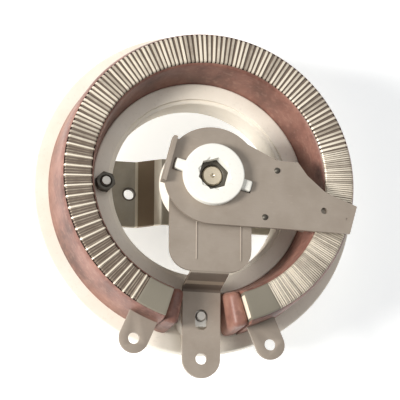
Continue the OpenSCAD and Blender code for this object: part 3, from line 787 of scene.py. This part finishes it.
def bracket():
    t = BRACKET_T
    far = BRACKET_R + 4
    line = [(-far, t / 2), (-BEND_OUT, t / 2), (-BEND_IN, MIDDLE_Z + t / 2),
            (BEND_IN, MIDDLE_Z + t / 2), (BEND_OUT, t / 2), (far, t / 2)]
    strip = bent_strip("bracket_strip", line, t, BRACKET_W, 2.4)
    finished(strip, "BOOLEAN", object=round_bar("ends", BRACKET_R, -1, 20, sides=240),
             operation="INTERSECT", solver="EXACT")
    bpy.data.objects.remove(bpy.data.objects["ends"])
    for side in (-1, 1):
        drilled(strip, side * PANEL_X, 0, PANEL_HOLE_R, -1, 6)
        sink = [(0.0, -FIT), (CSK_R + FIT, -FIT), (SCREW_HOLE_R, t - 0.25)]
        sink += [(SCREW_HOLE_R, t + 1), (0.0, t + 1)]
        cut(strip, placed(revolved("sink", sink, 48), (side * SCREW_X, 0, 0)))
    drilled(strip, 0, 0, BARREL_R + FIT, sides=64)
    eased(strip, 0.25, 2)
    done(strip, ZINC, "base", ["bracket"])


def cross_recess(z, depth, size=2.3, width=0.95):
    """The cutter for a cross recess that opens downwards."""
    first = block("cross", (-size, -width / 2, z - 1), (size, width / 2, z + depth))
    second = block("cross_2", (-width / 2, -size, z - 1), (width / 2, size, z + depth))
    return added(first, second)


def bracket_screws():
    head = [(0.0, 0.0), (3.75, 0.0), (3.95, 0.25), (SCREW_R, BRACKET_T - 0.1), (0.0, BRACKET_T - 0.1)]
    screw = threaded_bar("bracket_screw", SCREW_R, BRACKET_T - 0.3, high("bracket_screws").z)
    added(screw, revolved("head", head, 48))
    cut(screw, cross_recess(0.0, 1.3))
    pair = [copied(screw, 0.3, (-SCREW_X, 0, 0)), copied(screw, 1.0, (SCREW_X, 0, 0))]
    bpy.data.objects.remove(screw)
    done(joined("bracket_screw_pair", pair), BRIGHT, "base", ["bracket_screws"])


def nut(name, across_flats, z, height, bore):
    """A hex nut with rounded-off corners and a countersunk bore."""
    piece = hexagon(name, across_flats, z, height)
    corner = across_flats / math.sqrt(3)
    crown = [(0.0, z), (corner - 0.45, z), (corner + 0.1, z + 0.35), (corner + 0.1, z + height - 0.35),
             (corner - 0.45, z + height), (0.0, z + height)]
    combined(piece, revolved("crown", crown, 60), "INTERSECT")
    sink = [(0.0, z - 1), (bore, z - 1), (bore, z + height - 0.5), (bore + 0.5, z + height + 0.01),
            (bore + 0.5, z + height + 1), (0.0, z + height + 1)]
    return cut(piece, revolved("sink", sink, 40))


def bracket_nuts():
    z = LAND_Z + WASHER_T
    first = nut("bracket_nut", NUT_AF, z, NUT_H, SCREW_R + FIT)
    pair = [copied(first, 0.25, (-SCREW_X, 0, 0)), copied(first, 0.7, (SCREW_X, 0, 0))]
    bpy.data.objects.remove(first)
    done(joined("bracket_nut_pair", pair), DARK, "base", ["bracket_nuts"])
    ring = [(SCREW_HOLE_R, LAND_Z), (NUT_AF / 2, LAND_Z), (NUT_AF / 2, z), (SCREW_HOLE_R, z)]
    washers = [
        placed(revolved("washer", ring, 40, 10, 346), (side * SCREW_X, 0, 0)) for side in (-1, 1)
    ]
    done(joined("lock_washer_pair", washers), DARK, "base", ["lock_washers"])


def bushing():
    bore = SHAFT_R + FIT
    rear = MIDDLE_Z + BRACKET_T
    section = [(bore, FLANGE_Z)] + arc(FLANGE_R - 0.5, FLANGE_Z + 0.5, 0.5, -90, 0, 4)
    section += [(FLANGE_R, MIDDLE_Z), (BARREL_R, MIDDLE_Z), (BARREL_R, rear)]
    section += arc(BARREL_R - 0.4, BUSHING_END - 0.4, 0.4, 0, 90, 4) + [(bore, BUSHING_END)]
    piece = revolved("shaft_bushing", section, 96)
    ear = block("ear", (-EAR_W / 2, -EAR_REACH, MIDDLE_Z - 1), (EAR_W / 2, -FLANGE_R + 1, MIDDLE_Z))
    eased(ear, 0.3)
    added(piece, ear)
    done(piece, COPPER, "base", ["bushing"])


def coil_spring():
    """Round wire along a coil with closed end turns."""
    turns, per_turn = 5, 40
    wire_r = SPRING_WIRE / 2
    rise = SPRING_HIGH - SPRING_LOW - 2 * SPRING_WIRE
    path = bpy.data.curves.new("spring_path", "CURVE")
    path.dimensions = "3D"
    spline = path.splines.new("POLY")
    count = (turns + 2) * per_turn
    spline.points.add(count)
    for i, point in enumerate(spline.points):
        t = i / per_turn
        working = min(max(t - 1, 0), turns)
        closed = min(t, 1) + max(t - 1 - turns, 0)
        z = SPRING_LOW + wire_r + SPRING_WIRE * 0.5 * closed + rise * working / turns
        angle = 2 * math.pi * t
        r = SPRING_R - wire_r
        point.co = (r * math.cos(angle), r * math.sin(angle), z, 1)
    path.bevel_depth = wire_r
    path.bevel_resolution = 3
    path.use_fill_caps = True
    spring = bpy.data.objects.new("coil", path)
    bpy.context.scene.collection.objects.link(spring)
    only(spring)
    bpy.ops.object.convert(target="MESH")
    done(bpy.context.object, SPRING, "base", ["coil_spring"], 60)


def insulating_cup():
    neck = CUP_FLOOR_Z - 3
    socket = HUB_BARREL_R + HUB_ROOM
    soft = 0.6
    section = [(CUP_RIM_R - CUP_WALL, CUP_RIM_Z)]
    section += arc(CUP_RIM_R - soft, CUP_RIM_Z + soft, soft, -90, 0, 4)
    section += [(CUP_RIM_R - 0.1, CUP_RIM_Z + 1.4), (CUP_RIM_R - 1.9, CUP_RIM_Z + 3.6)]
    section += [(CUP_R, neck), (CUP_R, CUP_TOP_Z), (socket, CUP_TOP_Z), (socket, CUP_SOCKET_Z)]
    section += [(SHAFT_R + HUB_ROOM, CUP_SOCKET_Z), (SHAFT_R + HUB_ROOM, CUP_FLOOR_Z)]
    section += [(CUP_R - CUP_WALL, CUP_FLOOR_Z), (CUP_R - CUP_WALL, neck)]
    cup = revolved("spring_cup", section, 96)
    done(cup, CREAM, "base", ["insulating_cup"])


# ---- turning side --------------------------------------------------------------------------------


def shaft():
    c, groove = 0.5, 0.6
    mark = 0.9
    clip_top = CLIP_Z + CLIP_T
    section = [(0.0, SHAFT_TIP + mark), (mark, SHAFT_TIP)]
    section += [(SHAFT_R - c, SHAFT_TIP), (SHAFT_R, SHAFT_TIP + c)]
    section += [(SHAFT_R, CLIP_Z), (SHAFT_R - groove, CLIP_Z), (SHAFT_R - groove, clip_top)]
    section += [(SHAFT_R, clip_top), (SHAFT_R, SHAFT_END - c), (SHAFT_R - c, SHAFT_END)]
    section += [(mark, SHAFT_END), (0.0, SHAFT_END - mark)]
    done(revolved("turned_shaft", section, 72), BRASS, "wiper", ["shaft"])


def hub():
    """White steatite hub: a rear flange with a hex socket, a barrel and two keys."""
    soft = 0.6
    flange_z = ARM_Z + ARM_T
    section = [(SHAFT_R + FIT, HUB_BOTTOM), (HUB_BARREL_R, HUB_BOTTOM), (HUB_BARREL_R, flange_z)]
    section += [(HUB_R, flange_z)] + arc(HUB_R - soft, HUB_TOP - soft, soft, 0, 90, 5)
    section += [(SHAFT_R + FIT, HUB_TOP)]
    piece = revolved("white_hub", section, 120)
    key = block("key", (-KEY_REACH, -KEY_W / 2, ARM_Z), (KEY_REACH, KEY_W / 2, flange_z + KEY_H))
    eased(key, 0.7, 3)
    added(piece, key)
    cut(piece, hexagon("socket", HUB_AF, HUB_TOP - SOCKET_DEPTH, SOCKET_DEPTH + 1))
    low_r, high_r = 6.3, 7.0
    sink = [(0.0, HUB_TOP - 0.5), (low_r, HUB_TOP - 0.5), (high_r, HUB_TOP + 0.1)]
    sink += [(high_r, HUB_TOP + 1), (0.0, HUB_TOP + 1)]
    cut(piece, revolved("sink", sink, 6))
    placed(piece, turn=ARM_ANGLE)
    done(piece, WHITE, "wiper", ["hub"])


def hub_nut():
    lowest, highest = low("hub_nut").z, high("hub_nut").z
    piece = nut("socket_nut", HUB_AF - 2 * FIT, lowest, highest - lowest, SHAFT_R + FIT)
    done(placed(piece, turn=ARM_ANGLE), DARK, "wiper", ["hub_nut"])


def arm_outline():
    """The arm seen from the rear, pointing along +X: root, tail, wing and tapered tip."""
    corner = Vector((ARM_L, -TIP_W / 2))
    touch = math.degrees(math.atan2(corner.y, corner.x) - math.acos(ROOT_R / corner.length))
    tail_low = math.degrees(math.atan2(TAIL_LOW, -math.sqrt(ROOT_R**2 - TAIL_LOW**2)))
    tail_high = math.degrees(math.atan2(TAIL_HIGH, -math.sqrt(ROOT_R**2 - TAIL_HIGH**2)))
    outline = [tuple(corner), (ARM_L, TIP_W / 2)] + WING[::-1]
    outline += arc(0, 0, ROOT_R, 58, tail_high, 20)
    outline += [(-TAIL_L, TAIL_HIGH), (-TAIL_L, TAIL_LOW)]
    outline += arc(0, 0, ROOT_R, tail_low, touch, 20)
    return outline


def wiper_arm():
    arm = plate("arm_plate", arm_outline(), ARM_Z, ARM_T)
    tail = block(
        "tail", (-TAIL_L, TAIL_LOW, ARM_Z + 0.01),
        (-TAIL_L + ARM_T, TAIL_HIGH, ARM_Z + ARM_T + TAIL_H),
    )
    added(arm, tail)
    for side in (-1, 1):
        near_y, far_y = sorted((side * EAR_HALF, side * (EAR_HALF - ARM_T)))
        ear = block("ear", (EAR_IN, near_y, EAR_BOTTOM), (EAR_IN + EAR_L, far_y, ARM_Z + 0.5))
        added(arm, ear)
        drilled(arm, RIVET_X, side * RIVET_Y, 1.05)
    drilled(arm, 0, 0, HUB_BARREL_R + FIT, sides=96)
    reach, half = KEY_REACH + 0.4, KEY_W / 2 + 0.3
    cut(arm, block("notch", (-reach, -half, ARM_Z - 1), (reach, half, ARM_Z + 3)))
    drilled(arm, ARM_HOLE_X, 0, ARM_HOLE_R)
    dimple = round_bar("dimple", 0.5, ARM_Z + ARM_T - 0.25, 1, (56.2, -0.4), 16)
    cut(arm, dimple)
    eased(arm, 0.16, 2)
    placed(arm, turn=ARM_ANGLE)
    done(arm, SHEET, "wiper", ["wiper_arm"])


def leaf_spring():
    half, neck, tip = RIVET_Y + 2.4, EAR_HALF - ARM_T - 0.3, 3.5
    upper = [(RIVET_X - 4, half - 2), (RIVET_X - 2, half), (RIVET_X + 3, half)]
    upper += [(EAR_IN - 2, neck), (ARM_L - 0.6, tip)]
    outline = [(x, -y) for x, y in upper] + upper[::-1]
    thickness = high("leaf_spring").z - low("leaf_spring").z
    leaf = plate("contact_leaf", outline, ARM_Z - thickness, thickness)
    cut(leaf, round_bar("clear", 16.5, ARM_Z - 2, 4, sides=96))
    for side in (-1, 1):
        drilled(leaf, RIVET_X, side * RIVET_Y, 1.05)
    eased(leaf, 0.08, 1)
    done(placed(leaf, turn=ARM_ANGLE), SPRING, "wiper", ["leaf_spring"])
    top, bottom = ARM_Z + ARM_T, ARM_Z - thickness
    rivet = [(0.0, bottom - 0.4), (1.3, bottom - 0.4), (1.6, bottom), (1.0, bottom), (1.0, top)]
    rivet += [(1.25, top)] + arc(0, top - 0.4, 1.2, 30, 90, 5)
    first = revolved("leaf_rivet", rivet, 24)
    pair = [copied(first, 0, (RIVET_X, side * RIVET_Y, 0)) for side in (-1, 1)]
    bpy.data.objects.remove(first)
    rivets = placed(joined("leaf_rivet_pair", pair), turn=ARM_ANGLE)
    done(rivets, DARK, "wiper", ["leaf_rivets"])


def brush():
    bottom, top = low("brush").z, high("brush").z
    piece = block("contact_brush", (TRACK_R - 4.5, -3.5, bottom), (TRACK_R + 4.5, 3.5, top))
    eased(piece, 0.5, 3)
    done(placed(piece, turn=ARM_ANGLE), CARBON, "wiper", ["brush"])


def carried_over():
    """CAD nodes whose shapes are right as they are, with their finishes."""
    kept = {
        "core_former": CORE_CREAM, "weld_nut": BRIGHT, "retaining_clip": DARK,
        "thrust_washer": COPPER, "slip_washer": COPPER,
    }
    for name, material in kept.items():
        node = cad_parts[name]
        node.data.materials.clear()
        node.data.materials.append(material)


# ---- stage ---------------------------------------------------------------------------------------


def camera():
    """Behind and above the rheostat, a little to its left, with a long lens."""
    place = Vector((-0.2892, -0.3031, 1.2732))
    target = Vector((0.0005, -0.0045, 0.018))
    up = Vector((-0.0506, 0.9802, 0.1913))
    back = (place - target).normalized()
    side = up.cross(back).normalized()
    data = bpy.data.cameras.new("camera")
    data.lens = 300
    data.clip_end = 20
    view = bpy.data.objects.new("camera", data)
    turned = Matrix((side, back.cross(side), back)).transposed()
    view.matrix_world = Matrix.Translation(place) @ turned.to_4x4()
    bpy.context.scene.collection.objects.link(view)
    bpy.context.scene.camera = view


def floor():
    bpy.ops.object.select_all(action="DESELECT")
    bpy.ops.mesh.primitive_plane_add(size=12, location=(0, 0, SHAFT_TIP / MM - 0.0004))
    ground = bpy.context.object
    ground.name = "floor"
    f = Finish("pale_floor")
    ground.data.materials.append(f.shade(
        Base_Color=linear(250, 250, 248), Roughness=0.9,
        Emission_Color=(0.93, 0.96, 1), Emission_Strength=0.4,
    ))


def lamp(name, place, size, power, colour):
    data = bpy.data.lights.new(name, "AREA")
    data.size = size
    data.energy = power
    data.color = colour
    light = bpy.data.objects.new(name, data)
    light.matrix_world = Matrix.Translation(place) @ (
        Vector(place).to_track_quat("Z", "Y").to_matrix().to_4x4()
    )
    bpy.context.scene.collection.objects.link(light)


def lights():
    lamp("key", (-1.7, -0.25, 1.2), 0.6, 60, (1.0, 0.985, 0.96))
    lamp("fill", (0.4, 0.6, 2.2), 1.6, 9, (0.97, 0.985, 1.0))
    world = bpy.data.worlds.new("studio")
    world.use_nodes = True
    background = world.node_tree.nodes["Background"]
    background.inputs["Color"].default_value = (1, 1, 1, 1)
    background.inputs["Strength"].default_value = 0.36
    bpy.context.scene.world = world
    bpy.context.scene.view_settings.view_transform = "Standard"


camera()
lights()
floor()
ceramic_base()
enamel_coat()
turn_fill()
windings()
end_terminal(-1, "left")
end_terminal(1, "right")
centre_terminal()
centre_screw()
bracket()
bracket_screws()
bracket_nuts()
bushing()
coil_spring()
insulating_cup()
shaft()
hub()
hub_nut()
wiper_arm()
leaf_spring()
brush()
carried_over()
